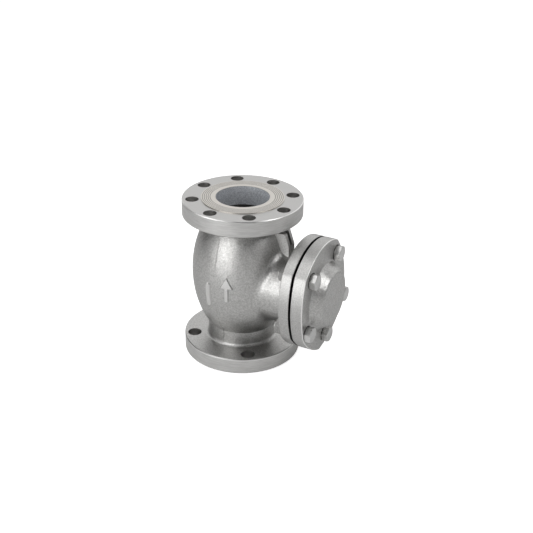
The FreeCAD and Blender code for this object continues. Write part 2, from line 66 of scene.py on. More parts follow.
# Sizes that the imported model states
mounts = {mount["name"]: mount for mount in frame["record"]["mounts"]}
_, body_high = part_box("valve_body")
cover_low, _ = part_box("bonnet_cover")
gasket_low, gasket_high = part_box("cover_gasket")
bolts_low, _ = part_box("cover_bolts")
nuts_low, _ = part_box("cover_nuts")
_, disc_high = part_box("disc")
_, disc_nut_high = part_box("disc_nut")
LENGTH = body_high.z
FLANGE_RADIUS = body_high.y
PORT_RADIUS = mounts["outlet_port"]["dims"]["r_mm"] * MM
RAISED_HEIGHT = mounts["inlet_bolts"]["pos_m"][2]
BRANCH_FACE = body_high.x
BRANCH_HEIGHT = (gasket_low.z + gasket_high.z) / 2

# Sizes that repeat the model's own
FLANGE_THICKNESS = 31.0 * MM
RAISED_RADIUS = 78.5 * MM
NECK_RADIUS = 67.0 * MM
NECK_FILLET = 6.0 * MM
BULB_RADIUS = 97.0 * MM
BULB_CENTRE = 172.0 * MM
BULB_HALF_HEIGHT = 149.9 * MM
BULB_LOW = 63.6 * MM
BULB_HIGH = 280.4 * MM
BRANCH_FLANGE_START = 127.5 * MM
COVER_FRONT = 176.0 * MM
COVER_BOLT_ANGLES = (57.0, 135.5, 211.5, 275.0, 338.5)
COVER_BOLT_CIRCLE_RADIUS = 85.0 * MM
COVER_BOLT_RADIUS = 9.0 * MM
BOLT_HEAD_RADIUS = 14.0 * MM
STUD_RADIUS = 10.0 * MM
PIPE_BOLT_RADIUS = 95.25 * MM
PIPE_HOLE_RADIUS = 13.5 * MM
PIPE_HOLE_PHASE = math.radians(-54.4)
PIPE_HOLE_STEP = math.radians(45.0)

# Half the length, and places of each pipe flange measured from there along the flow axis: its back,
# its face beside the raised part, and the middle between the two, with half of what lies between
MIDDLE = LENGTH / 2
FLANGE_BACK = MIDDLE - FLANGE_THICKNESS
FLANGE_FACE = MIDDLE - RAISED_HEIGHT
FLANGE_MIDDLE = MIDDLE - (FLANGE_THICKNESS + RAISED_HEIGHT) / 2
FLANGE_HALF = (FLANGE_THICKNESS - RAISED_HEIGHT) / 2

# Distances from the branch axis between which the milled rims begin
BODY_RIM_START = (90.0 * MM, 91.0 * MM)
COVER_RIM_START = (92.5 * MM, 93.5 * MM)

# Turned rings: the cut is a V, and its half width is a share of the pitch
RING_START = PORT_RADIUS + 8.5 * MM
RING_END = RAISED_RADIUS - 0.8 * MM
RING_PITCH = 3.6 * MM
RING_DEPTH = 0.1 * MM
RING_SKIN = 0.03 * MM
RING_CUT_SHARE = 0.1
RING_ROWS_IN_PITCH = 12
RING_COLUMNS = 256

# Threads: each starts a little inside its nut and ends a little short of the bolt's end
THREAD_SKIN = 0.02 * MM
THREAD_IN_NUT = 0.5 * MM
THREAD_SHORT = 0.6 * MM
THREAD_ROWS_IN_PITCH = 8
THREAD_COLUMNS = 48

# Parting line: place round the body, points across it, between the neck's two fillets, round a
# fillet and along a flange's back, then heights of the ground flash and of the thicker foot, and
# how far each reaches
PARTING_AZIMUTH = -94.0
POINTS_ACROSS = 9
POINTS_BETWEEN_FILLETS = 420
POINTS_ROUND_FILLET = 12
POINTS_ALONG_BACK = 60
FLASH_HEIGHT = 0.238
FLASH_REACH = 0.022
FOOT_HEIGHT = 0.05
FOOT_REACH = 0.03

# Marks cast on the bulb
MARK_DRAFT = 1.6 * MM
MARK_UNDER = 0.3 * MM
MARK_COLUMNS = 91
MARK_ROWS = 181
ARROW_LENGTH = 50.0 * MM
ARROW_WIDTH = 24.0 * MM
ARROW_HEAD = 22.0 * MM
ARROW_BAR = 7.0 * MM
ARROW_SLANT = 0.85
PAD_LENGTH = 50.0 * MM
PAD_WIDTH = 9.0 * MM

# Colours
STEEL = (0.56, 0.557, 0.547)
STEEL_DARK = (0.36, 0.357, 0.349)
STEEL_TURNED = (0.58, 0.576, 0.566)
STEEL_STREAK = (0.49, 0.487, 0.478)
# The next colour is a painted highlight for the top edges of the pipe flange rims and the cover rim's front
# edge
STEEL_EDGE_HIGHLIGHT = (0.80, 0.795, 0.785)
STEEL_FACE = (0.50, 0.496, 0.487)
STEEL_MILLED = (0.53, 0.527, 0.517)
STEEL_MILLED_DARK = (0.40, 0.397, 0.39)
STEEL_WARM = (0.62, 0.595, 0.555)
STEEL_DRILLED = (0.48, 0.475, 0.465)
STEEL_BRIGHT = (0.62, 0.62, 0.612)
STEEL_RUBBED = (0.74, 0.735, 0.725)
# The next colour is painted shade for the cover joint and round the bases of the bolt heads
CREVICE_SHADE = (0.03, 0.03, 0.03)
SCALE_LIGHT = (0.80, 0.825, 0.86)
SCALE_DARK = (0.48, 0.50, 0.535)
SEAT_STEEL = (0.62, 0.62, 0.61)
DISC_STEEL = (0.57, 0.57, 0.56)
HINGE_DARK = (0.46, 0.457, 0.45)
HINGE_LIGHT = (0.56, 0.557, 0.55)
BRONZE = (0.72, 0.53, 0.28)
BRONZE_TARNISH = (0.50, 0.36, 0.2)
GRAPHITE = (0.02, 0.02, 0.021)
GRAPHITE_LIGHT = (0.06, 0.06, 0.062)

# Roughness; a pair is what the grain varies between
BODY_ROUGHNESS = (0.33, 0.41)
COVER_ROUGHNESS = (0.33, 0.43)
TURNED_ROUGHNESS = 0.36
MILLED_ROUGHNESS = 0.43
BORE_ROUGHNESS = 0.5
BORE_METALLIC = 0.55

# Camera, as the photograph was taken: pixels, millimetres of sensor, metres and degrees
FRAME_PIXELS = 533
FOCAL_PIXELS = 911.15
SENSOR_WIDTH = 36.0
CAMERA_DISTANCE = 1.7876
CAMERA_TARGET_HEIGHT = 0.146
CAMERA_AZIMUTH = 28.9
CAMERA_ELEVATION = 28.03
CAMERA_YAW = 1.698
CAMERA_PITCH = 27.21
CAMERA_ROLL = 1.044
NEAREST_SEEN = 0.05
FARTHEST_SEEN = 100.0

# Floor and world, with tones where 1 is white. WORLD_TURN is how many degrees the world's front is
# turned from the camera's side. The pairs are the ends of smooth steps: the first two of how far a
# direction points to that front, from -1 to 1, and the last of how high it points
FLOOR_SIZE = 40.0
FLOOR_COLOUR = (0.8, 0.8, 0.8)
FLOOR_GLOW = 0.80
FLOOR_GLOW_MIRRORED = 0.06
WHITE = (1.0, 1.0, 1.0)
WORLD_FILL = 0.25
WORLD_BACK = 1.0
WORLD_DARK_SIDE = 0.04
WORLD_HORIZON = 0.95
WORLD_TURN = -20.0
BACK_TURN = (-0.6, -0.25)
HORIZON_TURN = (0.0, 0.5)
HORIZON_TOP = (0.12, 0.34)

# Lamps: name, azimuth and elevation in degrees, width and height in metres, and level. All stand at
# one distance from one point and face it
LAMP_DISTANCE = 1.9
LAMP_TARGET = (0.02, 0.0, MIDDLE)
LAMPS = (
    ("left_box", CAMERA_AZIMUTH - 43, 22, 1.3, 1.9, 2.3),
    ("high_right_box", CAMERA_AZIMUTH + 60, 42, 0.7, 0.7, 7.0),
    ("top_box", CAMERA_AZIMUTH - 98, 60, 1.2, 1.2, 2.5),
)


def grid_piece(name, points, material, closed_round=False, caps=False):
    """Mesh from a grid of points, rows by columns by 3: neighbours in the grid share faces.

    closed_round joins the last column to the first, and caps close the first and last rows.
    """
    rows, columns = points.shape[:2]
    spans = columns if closed_round else columns - 1
    row, column = np.meshgrid(np.arange(rows - 1), np.arange(spans), indexing="ij")
    beside = (column + 1) % columns
    faces = np.stack([row * columns + column, row * columns + beside,
                      (row + 1) * columns + beside, (row + 1) * columns + column], -1).reshape(-1, 4)
    ends = []
    if caps:
        ends = [list(range(columns))[::-1], list(range((rows - 1) * columns, rows * columns))]
    mesh = bpy.data.meshes.new(name)
    mesh.from_pydata(points.reshape(-1, 3).tolist(), [], faces.tolist() + ends)
    mesh.materials.append(material)
    mesh.shade_smooth()
    mesh.update()
    piece = bpy.data.objects.new(name, mesh)
    bpy.context.scene.collection.objects.link(piece)
    return piece


def joined(name, pieces):
    """One piece made of several meshes."""
    for piece in bpy.context.view_layer.objects:
        piece.select_set(piece in pieces)
    bpy.context.view_layer.objects.active = pieces[0]
    bpy.ops.object.join()
    pieces[0].name = name
    pieces[0].data.name = name
    return pieces[0]


def round_points(radius, turn, height):
    """Points at a radius from the flow axis, an angle round it and a height, as arrays."""
    return np.stack([radius * np.cos(turn), radius * np.sin(turn), height], -1)


def body_radius(height):
    """Outside radius of the casting at a height, as an array.

    Between the bulb's two ends it is that of an upright ellipse, and above and below the neck's.
    """
    level = np.clip((height - BULB_CENTRE) / BULB_HALF_HEIGHT, -1, 1)
    egg = BULB_RADIUS * np.sqrt(1 - level ** 2)
    inside = (height > BULB_LOW) & (height < BULB_HIGH)
    return np.where(inside, egg, NECK_RADIUS)


def cover_bolt_place(angle):
    """Y and Z of the cover bolt at an angle in degrees round the branch axis."""
    turn = math.radians(angle)
    return (COVER_BOLT_CIRCLE_RADIUS * math.cos(turn),
            BRANCH_HEIGHT + COVER_BOLT_CIRCLE_RADIUS * math.sin(turn))


def darker(colour, share):
    """A share of a colour."""
    return tuple(share * part for part in colour)


class Nodes:
    """Node tree. Its methods add the few kinds of node that the finishes and the world use."""

    def __init__(self, tree):
        self.tree = tree

    def add(self, kind, *values, **settings):
        """A node: its inputs take the values in order, and None leaves an input as it is."""
        node = self.tree.nodes.new(kind)
        for key, value in settings.items():
            setattr(node, key, value)
        for socket, value in zip(node.inputs, values):
            if value is not None:
                self.join(value, socket)
        return node

    def join(self, value, socket):
        """Gives an input its value: another node's output, a colour of three parts or a number."""
        if isinstance(value, bpy.types.NodeSocket):
            self.tree.links.new(value, socket)
        elif socket.type == "RGBA":
            socket.default_value = (*value, 1.0)
        else:
            socket.default_value = value

    def math(self, operation, *values):
        """Sum, product or another function of numbers."""
        return self.add("ShaderNodeMath", *values, operation=operation).outputs[0]

    def hypot(self, first, second):
        """Distance, from two distances at right angles."""
        return self.math("SQRT", self.math("ADD", self.math("MULTIPLY", first, first),
                                           self.math("MULTIPLY", second, second)))

    def both(self, first, second):
        """1 where two masks are both 1."""
        return self.math("MULTIPLY", first, second)

    def any_of(self, first, second):
        """1 where at least one of two masks is 1."""
        return self.math("MAXIMUM", first, second)

    def ramp(self, value, start, end, low=0.0, high=1.0):
        """low up to start, high from end on, and a smooth step between; start may be the larger."""
        return self.add("ShaderNodeMapRange", value, start, end, low, high,
                        interpolation_type="SMOOTHSTEP").outputs[0]

    def mix(self, kind, share, first, second):
        """first where share is 0, second where it is 1, and a blend between.

        The node has a pair of inputs for each kind of value, after its two inputs for the share.
        """
        order = ("FLOAT", "VECTOR", "RGBA").index(kind)
        passed_over = [None] * (1 + 2 * order)
        return self.add("ShaderNodeMix", share, *passed_over, first, second, data_type=kind).outputs[order]

    def number(self, share, first, second):
        """Blend of two numbers."""
        return self.mix("FLOAT", share, first, second)

    def relief(self, share, first, second):
        """Blend of two reliefs."""
        return self.mix("VECTOR", share, first, second)

    def colour(self, share, first, second):
        """Blend of two colours, each a tuple or another blend."""
        return self.mix("RGBA", share, first, second)


class Finish(Nodes):
    """Node tree of one piece's finish, in the object's own coordinates."""

    def __init__(self, name, metallic=1.0):
        self.material = bpy.data.materials.new(name)
        self.material.use_nodes = True
        super().__init__(self.material.node_tree)
        self.shader = self.tree.nodes["Principled BSDF"]
        self.shader.inputs["Metallic"].default_value = metallic
        self.place = self.add("ShaderNodeTexCoord").outputs["Object"]
        self.x, self.y, self.z = self.add("ShaderNodeSeparateXYZ", self.place).outputs

    def from_flow_axis(self):
        """Distance from the flow axis."""
        return self.hypot(self.x, self.y)

    def from_branch_axis(self):
        """Distance from the branch axis."""
        return self.hypot(self.y, self.math("SUBTRACT", self.z, BRANCH_HEIGHT))

    def noise(self, cells, detail=3.0, roughness=0.55, squeeze=None):
        """Noise from 0 to 1 with that many cells to the metre, times squeeze along x, y and z."""
        place = self.place
        if squeeze:
            place = self.add("ShaderNodeMapping", place, None, None, squeeze).outputs[0]
        return self.add("ShaderNodeTexNoise", place, None, cells, detail, roughness).outputs[0]

    def rings(self, distance, pitch):
        """Turning marks: a wave from 0 to 1 along a distance, one crest for each pitch."""
        wave = self.math("SINE", self.math("MULTIPLY", distance, 2 * math.pi / pitch))
        return self.math("MULTIPLY_ADD", wave, 0.5, 0.5)

    def bump(self, height, depth, under=None):
        """Relief of that depth in metres from a height from 0 to 1, on top of another relief."""
        node = self.add("ShaderNodeBump")
        node.inputs["Strength"].default_value = 1.0
        node.inputs["Distance"].default_value = depth
        self.join(height, node.inputs["Height"])
        if under is not None:
            self.join(under, node.inputs["Normal"])
        return node.outputs[0]

    def surface(self, colour, roughness, relief):
        """The material, with its colour, roughness and relief."""
        self.join(colour, self.shader.inputs["Base Color"])
        self.join(roughness, self.shader.inputs["Roughness"])
        self.join(relief, self.shader.inputs["Normal"])
        return self.material


def blasted_relief(finish):
    """Bead blasted casting: slow unevenness, a pebbled middle scale and the fine grain of the beads."""
    slow = finish.bump(finish.noise(30.0, 2.0), 1.0 * MM)
    pebbled = finish.bump(finish.noise(330.0, 3.0, 0.6), 0.45 * MM, slow)
    return finish.bump(finish.noise(900.0, 2.0), 0.08 * MM, pebbled)


def cast_colour(finish):
    """Grey of the blasted steel, uneven at the scale of its pebbled grain."""
    patches = finish.ramp(finish.noise(340.0, 4.0, 0.7), 0.3, 0.7)
    return finish.colour(patches, STEEL_DARK, STEEL)


def milled_colour(finish):
    """Grey of a milled edge with the fine speckle that the beads left on it."""
    speckle = finish.ramp(finish.noise(520.0, 3.0, 0.65), 0.35, 0.65)
    return finish.colour(speckle, STEEL_MILLED_DARK, STEEL_MILLED)


def brushed_relief(finish):
    """Fine scratches round a milled rim, under the grain of the beads."""
    scratches = finish.bump(finish.noise(220.0, 3.0, 0.6, squeeze=(6.0, 1.0, 1.0)), 0.04 * MM)
    return finish.bump(finish.noise(520.0, 3.0, 0.65), 0.12 * MM, scratches)


# The next functions are masks: 1 where a finish lies, 0 elsewhere, with a smooth step of a
# millimetre or less at the edge. radius is taken from the flow axis, and from_middle along it
def rim_of_pipe_flange(finish, radius, from_middle):
    """1 on the turned rims of both pipe flanges."""
    return finish.both(finish.ramp(radius, FLANGE_RADIUS - 1.2 * MM, FLANGE_RADIUS - 0.8 * MM),
                       finish.ramp(from_middle, FLANGE_BACK - 2.2 * MM, FLANGE_BACK - 1.2 * MM))


def face_of_pipe_flange(finish, radius, from_middle):
    """1 on the faces of both pipe flanges, with the raised part, from the port's edge outwards."""
    return finish.both(finish.ramp(from_middle, FLANGE_FACE - 0.3 * MM, FLANGE_FACE - 0.1 * MM),
                       finish.ramp(radius, PORT_RADIUS + 0.1 * MM, PORT_RADIUS + 0.4 * MM))


def rim_of_cover_flange(finish):
    """1 on the milled rim of the flange that the cover is bolted to."""
    return finish.both(finish.ramp(finish.x, BRANCH_FLANGE_START - 0.4 * MM, BRANCH_FLANGE_START + 0.4 * MM),
                       finish.ramp(finish.from_branch_axis(), *BODY_RIM_START))


def in_bore(finish, radius, from_middle):
    """1 within the port's radius, from just inside the port's edge."""
    return finish.both(finish.ramp(radius, PORT_RADIUS + 0.3 * MM, PORT_RADIUS + 0.1 * MM),
                       finish.ramp(from_middle, MIDDLE - 0.2 * MM, MIDDLE - 0.8 * MM))


def broken_edge_highlight(finish, radius):
    """1 on the broken edge at the top of each pipe flange's rim, which carries a painted highlight; the
    lower edge gets none.

    The height is taken from the middle of the flange on the point's own half of the valve.
    """
    half = finish.math("SIGN", finish.math("SUBTRACT", finish.z, MIDDLE))
    own_middle = finish.math("MULTIPLY_ADD", half, FLANGE_MIDDLE, MIDDLE)
    above = finish.math("SUBTRACT", finish.z, own_middle)
    near_top = finish.both(finish.ramp(above, FLANGE_HALF - 1.5 * MM, FLANGE_HALF - 1.1 * MM),
                           finish.ramp(above, FLANGE_HALF + 0.5 * MM, FLANGE_HALF + 0.2 * MM))
    return finish.both(near_top, finish.ramp(radius, FLANGE_RADIUS - 1.6 * MM, FLANGE_RADIUS - 1.2 * MM))


def in_pipe_hole(finish, radius, from_middle):
    """1 on the walls of the pipe bolt holes.

    The angle round the flow axis is folded to the nearest hole, and a point counts when it lies
    within the hole's radius of that hole's axis and inside the thickness of the flange.
    """
    angle = finish.math("SUBTRACT", finish.math("ARCTAN2", finish.y, finish.x), PIPE_HOLE_PHASE)
    folded = finish.math("PINGPONG", angle, PIPE_HOLE_STEP / 2)
    ahead = finish.math("SUBTRACT", finish.math("MULTIPLY", radius, finish.math("COSINE", folded)),
                        PIPE_BOLT_RADIUS)
    aside = finish.math("MULTIPLY", radius, finish.math("SINE", folded))
    near = finish.ramp(finish.hypot(ahead, aside), PIPE_HOLE_RADIUS + 0.6 * MM,
                       PIPE_HOLE_RADIUS + 0.3 * MM)
    above_back = finish.ramp(from_middle, FLANGE_BACK + 0.1 * MM, FLANGE_BACK + 0.3 * MM)
    below_face = finish.ramp(from_middle, FLANGE_FACE - 0.1 * MM, FLANGE_FACE - 0.3 * MM)
    return finish.both(near, finish.both(above_back, below_face))


def shade_round_bolt_heads(finish):
    """1 from each cover bolt's axis out to a narrow crevice round its head, at any depth: where painted
    shade goes.
    """
    flat = finish.add("ShaderNodeCombineXYZ", 0.0, finish.y, finish.z).outputs[0]
    nearest = 1.0
    for angle in COVER_BOLT_ANGLES:
        centre = (0.0, *cover_bolt_place(angle))
        distance = finish.add("ShaderNodeVectorMath", flat, centre, operation="DISTANCE").outputs["Value"]
        nearest = finish.math("MINIMUM", nearest, distance)
    return finish.ramp(nearest, BOLT_HEAD_RADIUS + 2.2 * MM, BOLT_HEAD_RADIUS + 1.2 * MM)


def body_finish():
    """Blasted casting with turned flange rims and faces, a milled cover flange and a dark bore.

    Each colour and each roughness lies over the ones before it. The top edge of each pipe flange's rim
    carries a painted highlight, and the rim beside the cover joint carries painted shade.
    """
    finish = Finish("blasted_body_casting")
    radius = finish.from_flow_axis()
    from_middle = finish.math("ABSOLUTE", finish.math("SUBTRACT", finish.z, MIDDLE))
    face = face_of_pipe_flange(finish, radius, from_middle)
    raised = finish.both(face, finish.ramp(radius, RAISED_RADIUS + 0.2 * MM, RAISED_RADIUS))
    cover_rim = rim_of_cover_flange(finish)
    joint_shade = finish.both(cover_rim,
                           finish.ramp(finish.x, BRANCH_FACE - 1.0 * MM, BRANCH_FACE - 0.5 * MM))
    turned = finish.any_of(rim_of_pipe_flange(finish, radius, from_middle), face)
    machined = finish.any_of(turned, cover_rim)
    holes = in_pipe_hole(finish, radius, from_middle)
    bore = in_bore(finish, radius, from_middle)
    streaks = finish.noise(40.0, 3.0, 0.6, squeeze=(1.0, 1.0, 12.0))
    streaked = finish.colour(finish.ramp(streaks, 0.3, 0.7), STEEL_STREAK, STEEL_TURNED)
    scale = finish.colour(finish.ramp(finish.noise(420.0, 4.0, 0.7), 0.35, 0.7), SCALE_DARK, SCALE_LIGHT)
    colour = cast_colour(finish)
    for mask, over in ((machined, streaked),
                       (cover_rim, milled_colour(finish)),
                       (face, STEEL_FACE),
                       # painted highlight along the top edge of each pipe flange rim
                       (broken_edge_highlight(finish, radius), STEEL_EDGE_HIGHLIGHT),
                       # painted shade on the rim beside the cover joint
                       (joint_shade, CREVICE_SHADE),
                       (raised, STEEL_WARM),
                       (holes, STEEL_DRILLED),
                       (bore, scale)):
        colour = finish.colour(mask, colour, over)
    roughness = finish.number(finish.ramp(finish.noise(420.0, 3.0), 0.25, 0.75), *BODY_ROUGHNESS)
    for mask, over in ((finish.any_of(machined, holes), TURNED_ROUGHNESS),
                       (cover_rim, MILLED_ROUGHNESS),
                       (bore, BORE_ROUGHNESS)):
        roughness = finish.number(mask, roughness, over)
    finish.join(finish.number(bore, 1.0, BORE_METALLIC), finish.shader.inputs["Metallic"])
    turning = finish.bump(finish.rings(finish.math("ADD", radius, finish.z), 0.9 * MM), 0.02 * MM)
    machining = finish.relief(cover_rim, turning, brushed_relief(finish))
    return finish.surface(colour, roughness, finish.relief(machined, blasted_relief(finish), machining))


def cover_finish():
    """Blasted casting with a milled rim, its front face and dome left as cast.

    The rim's front edge carries a painted highlight, and its joint and the crevices round the bolt heads
    carry painted shade.
    """
    finish = Finish("blasted_cover_casting")
    rim = finish.ramp(finish.from_branch_axis(), *COVER_RIM_START)
    milled = finish.both(rim, finish.ramp(finish.x, COVER_FRONT - 0.9 * MM, COVER_FRONT - 1.6 * MM))
    # painted highlight along the front edge of the milled rim
    front_edge_highlight = finish.both(finish.ramp(finish.x, COVER_FRONT - 0.05 * MM, COVER_FRONT - 0.15 * MM),
                             finish.ramp(finish.x, COVER_FRONT - 1.9 * MM, COVER_FRONT - 1.5 * MM))
    # painted shade on the cover rim beside the joint
    joint_shade = finish.both(rim, finish.ramp(finish.x, cover_low.x + 1.0 * MM, cover_low.x + 0.5 * MM))
    on_face = finish.ramp(finish.x, COVER_FRONT - 0.3 * MM, COVER_FRONT - 0.1 * MM)
    # painted shade round the bases of the bolt heads
    heads_shade = finish.both(shade_round_bolt_heads(finish), on_face)
    colour = cast_colour(finish)
    for mask, over in ((milled, milled_colour(finish)),
                       (finish.both(rim, front_edge_highlight), STEEL_EDGE_HIGHLIGHT),
                       (finish.any_of(joint_shade, heads_shade), CREVICE_SHADE)):
        colour = finish.colour(mask, colour, over)
    cast_roughness = finish.number(finish.noise(420.0, 3.0), *COVER_ROUGHNESS)
    roughness = finish.number(milled, cast_roughness, MILLED_ROUGHNESS)
    relief = finish.relief(milled, blasted_relief(finish), brushed_relief(finish))
    return finish.surface(colour, roughness, relief)


def bolting_finish(name, bright, dull):
    """Forged and turned stainless bolting with faint scuffs."""
    finish = Finish(name)
    scuffs = finish.noise(300.0, 4.0, 0.65)
    colour = finish.colour(finish.ramp(scuffs, 0.35, 0.7), bright, dull)
    roughness = finish.number(finish.ramp(scuffs, 0.3, 0.7), 0.26, 0.36)
    return finish.surface(colour, roughness, finish.bump(scuffs, 0.012 * MM))


def graphite_finish():
    """Dark graphite filled gasket with the fine turns of its winding."""
    finish = Finish("graphite_gasket", metallic=0.0)
    winding = finish.rings(finish.from_branch_axis(), 0.6 * MM)
    colour = finish.colour(winding, GRAPHITE, GRAPHITE_LIGHT)
    finish.shader.inputs["Specular IOR Level"].default_value = 0.2
    return finish.surface(colour, 0.62, finish.bump(winding, 0.03 * MM))


def turned_finish(name, colour, roughness, pitch):
    """Turned about the flow axis, with rings of that pitch."""
    finish = Finish(name)
    rings = finish.rings(finish.from_flow_axis(), pitch)
    blotch = finish.noise(90.0, 3.0)
    shade = finish.colour(finish.ramp(blotch, 0.3, 0.7), darker(colour, 0.86), colour)
    gloss = finish.number(blotch, roughness - 0.04, roughness + 0.06)
    return finish.surface(shade, gloss, finish.bump(rings, 0.03 * MM))


def hinge_finish():
    """Cast and machined stainless steel, satin."""
    finish = Finish("satin_hinge_steel")
    blotch = finish.noise(150.0, 4.0)
    colour = finish.colour(finish.ramp(blotch, 0.3, 0.7), HINGE_DARK, HINGE_LIGHT)
    return finish.surface(colour, finish.number(blotch, 0.32, 0.46), finish.bump(blotch, 0.08 * MM))


def bronze_finish():
    """Turned bronze with a slight tarnish."""
    finish = Finish("turned_bronze")
    tarnish = finish.noise(200.0, 4.0)
    colour = finish.colour(finish.ramp(tarnish, 0.35, 0.75), BRONZE, BRONZE_TARNISH)
    return finish.surface(colour, finish.number(tarnish, 0.28, 0.44), finish.bump(tarnish, 0.02 * MM))


def ringed_finish():
    """Turned face with a dark line of shade in each of its wide grooves."""
    finish = Finish("turned_raised_face")
    radius = finish.from_flow_axis()
    to_edge = finish.math("PINGPONG", finish.math("SUBTRACT", radius, RING_START), RING_PITCH / 2)
    groove = finish.ramp(to_edge, RING_PITCH / 2 - 0.8 * MM, RING_PITCH / 2 - 0.4 * MM)
    patches = finish.noise(60.0, 3.0)
    face = finish.colour(finish.ramp(patches, 0.3, 0.7), darker(STEEL_WARM, 0.9), STEEL_WARM)
    colour = finish.colour(groove, face, darker(STEEL_WARM, 0.3))
    fine = finish.bump(finish.rings(radius, 0.8 * MM), 0.035 * MM)
    return finish.surface(colour, finish.number(patches, 0.3, 0.38), fine)


def rubbed_finish():
    """Cast marks, rubbed a little brighter than the casting round them."""
    finish = Finish("rubbed_casting")
    grain = finish.noise(500.0, 3.0)
    return finish.surface(finish.colour(grain, STEEL, STEEL_RUBBED), 0.34, finish.bump(grain, 0.1 * MM))


def turned_face(name, height, facing):
    """Turned rings on a raised face.

    A flat ring from near the port's edge to near the raised face's edge. Its height follows the
    radius: level, a hair above the face, with a narrow V cut once in each pitch. Its first and last
    rows lie as far under the face.
    """
    rows = int((RING_END - RING_START) / RING_PITCH) * RING_ROWS_IN_PITCH + 1
    radii = np.linspace(RING_START, RING_END, rows)
    turns = np.linspace(0, 2 * math.pi, RING_COLUMNS, endpoint=False)
    phase = (radii - RING_START) / RING_PITCH % 1
    cut = np.clip(1 - np.abs(phase - 0.5) / RING_CUT_SHARE, 0, 1)
    relief = RING_SKIN + RING_DEPTH * (1 - cut)
    relief[[0, -1]] = -RING_SKIN
    radius, turn = np.meshgrid(radii, turns * facing, indexing="ij")
    z = height + facing * np.repeat(relief[:, None], len(turns), 1)
    piece = grid_piece(name, round_points(radius, turn, z), ringed_steel, closed_round=True)
    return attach(piece, "root")


def thread(name, start, axis, side, radius, length, pitch, depth):
    """Screw thread on a bolt end.

    A sleeve round the axis: its radius is the bolt's own plus a triangle wave of the distance along
    it, whose phase turns once round for each pitch. The last turn tapers to nothing at the tip.
    """
    rows = int(length / pitch * THREAD_ROWS_IN_PITCH) + 1
    turns = np.linspace(0, 2 * math.pi, THREAD_COLUMNS, endpoint=False)
    along, turn = np.meshgrid(np.linspace(0, length, rows), turns, indexing="ij")
    phase = (along / pitch - turn / (2 * math.pi)) % 1
    taper = np.clip((length - along) / pitch, 0, 1)
    out = radius + THREAD_SKIN + depth * taper * (1 - np.abs(2 * phase - 1))
    outwards = np.cos(turn)[..., None] * np.array(side) + np.sin(turn)[..., None] * np.cross(axis, side)
    points = np.array(start) + along[..., None] * np.array(axis) + out[..., None] * outwards
    return grid_piece(name, points, bolt_steel, closed_round=True, caps=True)


def cover_bolt_threads():
    """Threads of the five cover bolts, from their nuts to the bolts' ends."""
    ends = [thread("bolt_end", (nuts_low.x + THREAD_IN_NUT, *cover_bolt_place(angle)), axis=(-1, 0, 0),
                   side=(0, 1, 0), radius=COVER_BOLT_RADIUS,
                   length=nuts_low.x - bolts_low.x - THREAD_SHORT, pitch=2.5 * MM, depth=0.45 * MM)
            for angle in COVER_BOLT_ANGLES]
    threads = joined("cover_bolt_threads", ends)
    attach(threads, "root")


def disc_stud_thread():
    """Thread of the disc's stud, from its nut to the stud's end."""
    stud_thread = thread("disc_stud_thread", (0, 0, disc_nut_high.z - THREAD_IN_NUT), axis=(0, 0, 1),
                         side=(1, 0, 0), radius=STUD_RADIUS,
                         length=disc_high.z - disc_nut_high.z - THREAD_SHORT,
                         pitch=2.0 * MM, depth=0.35 * MM)
    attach(stud_thread, "disc")


def meridian():
    """Radius and height along the side of the body, from the lower flange's rim to the upper one's.

    Flange back, quarter circle at the neck's foot, neck, egg-shaped bulb, and the same again at the
    top, joined end to end.
    """
    quarter = np.linspace(0, math.pi / 2, POINTS_ROUND_FILLET)[1:-1]
    out = np.linspace(FLANGE_RADIUS - 2.0 * MM, NECK_RADIUS + NECK_FILLET, POINTS_ALONG_BACK)
    back = np.full(len(out), FLANGE_THICKNESS)
    foot_radius = NECK_RADIUS + NECK_FILLET * (1 - np.sin(quarter))
    foot_height = FLANGE_THICKNESS + NECK_FILLET * (1 - np.cos(quarter))
    z = np.linspace(FLANGE_THICKNESS + NECK_FILLET, LENGTH - FLANGE_THICKNESS - NECK_FILLET,
                    POINTS_BETWEEN_FILLETS)
    radius = np.concatenate([out, foot_radius, body_radius(z), foot_radius[::-1], out[::-1]])
    height = np.concatenate([back, foot_height, z, LENGTH - foot_height[::-1], LENGTH - back])
    return radius, height


def parting_line():
    """Ridge that the mould's joint left down the front of the body, from flange to flange.

    The ridge follows the body's own side and stands off it along the side's normal. Across it the
    height is a flat-topped bell. Its height, its width and its wander to each side are sums of sines
    of the distance along, all in millimetres. It is higher near the top of the bulb, where the flash
    was ground, and on the lower flange and neck.
    """
    radius, height = meridian()
    along = np.concatenate([[0], np.cumsum(np.hypot(np.diff(radius), np.diff(height)))]) / MM
    normal = np.stack([np.gradient(height), -np.gradient(radius)], -1)
    normal /= np.hypot(normal[:, 0], normal[:, 1])[:, None]
    across = np.linspace(-1, 1, POINTS_ACROSS)[None, :]
    flash = np.exp(-((height - FLASH_HEIGHT) / FLASH_REACH) ** 2)
    foot = np.exp(-(np.maximum(height - FOOT_HEIGHT, 0) / FOOT_REACH) ** 2)
    wander = 0.4 * np.sin(along * 0.11) + 0.25 * np.sin(along * 0.47 + 1.3)
    rise = 0.5 + 0.15 * np.sin(along * 0.19 + 0.4) + 0.15 * np.sin(along * 0.83) + 0.5 * flash + 0.6 * foot
    half_width = 1.1 + 0.2 * np.sin(along * 0.31) + 0.6 * flash
    aside = (wander[:, None] + half_width[:, None] * across) * MM
    stand_off = (rise[:, None] * np.exp(-3.0 * across ** 4) - 0.25) * MM
    turn = math.radians(PARTING_AZIMUTH) + aside / radius[:, None]
    points = round_points(radius[:, None] + normal[:, :1] * stand_off, turn,
                          height[:, None] + normal[:, 1:] * stand_off)
    piece = grid_piece("parting_line", points, body_steel)
    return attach(piece, "root")


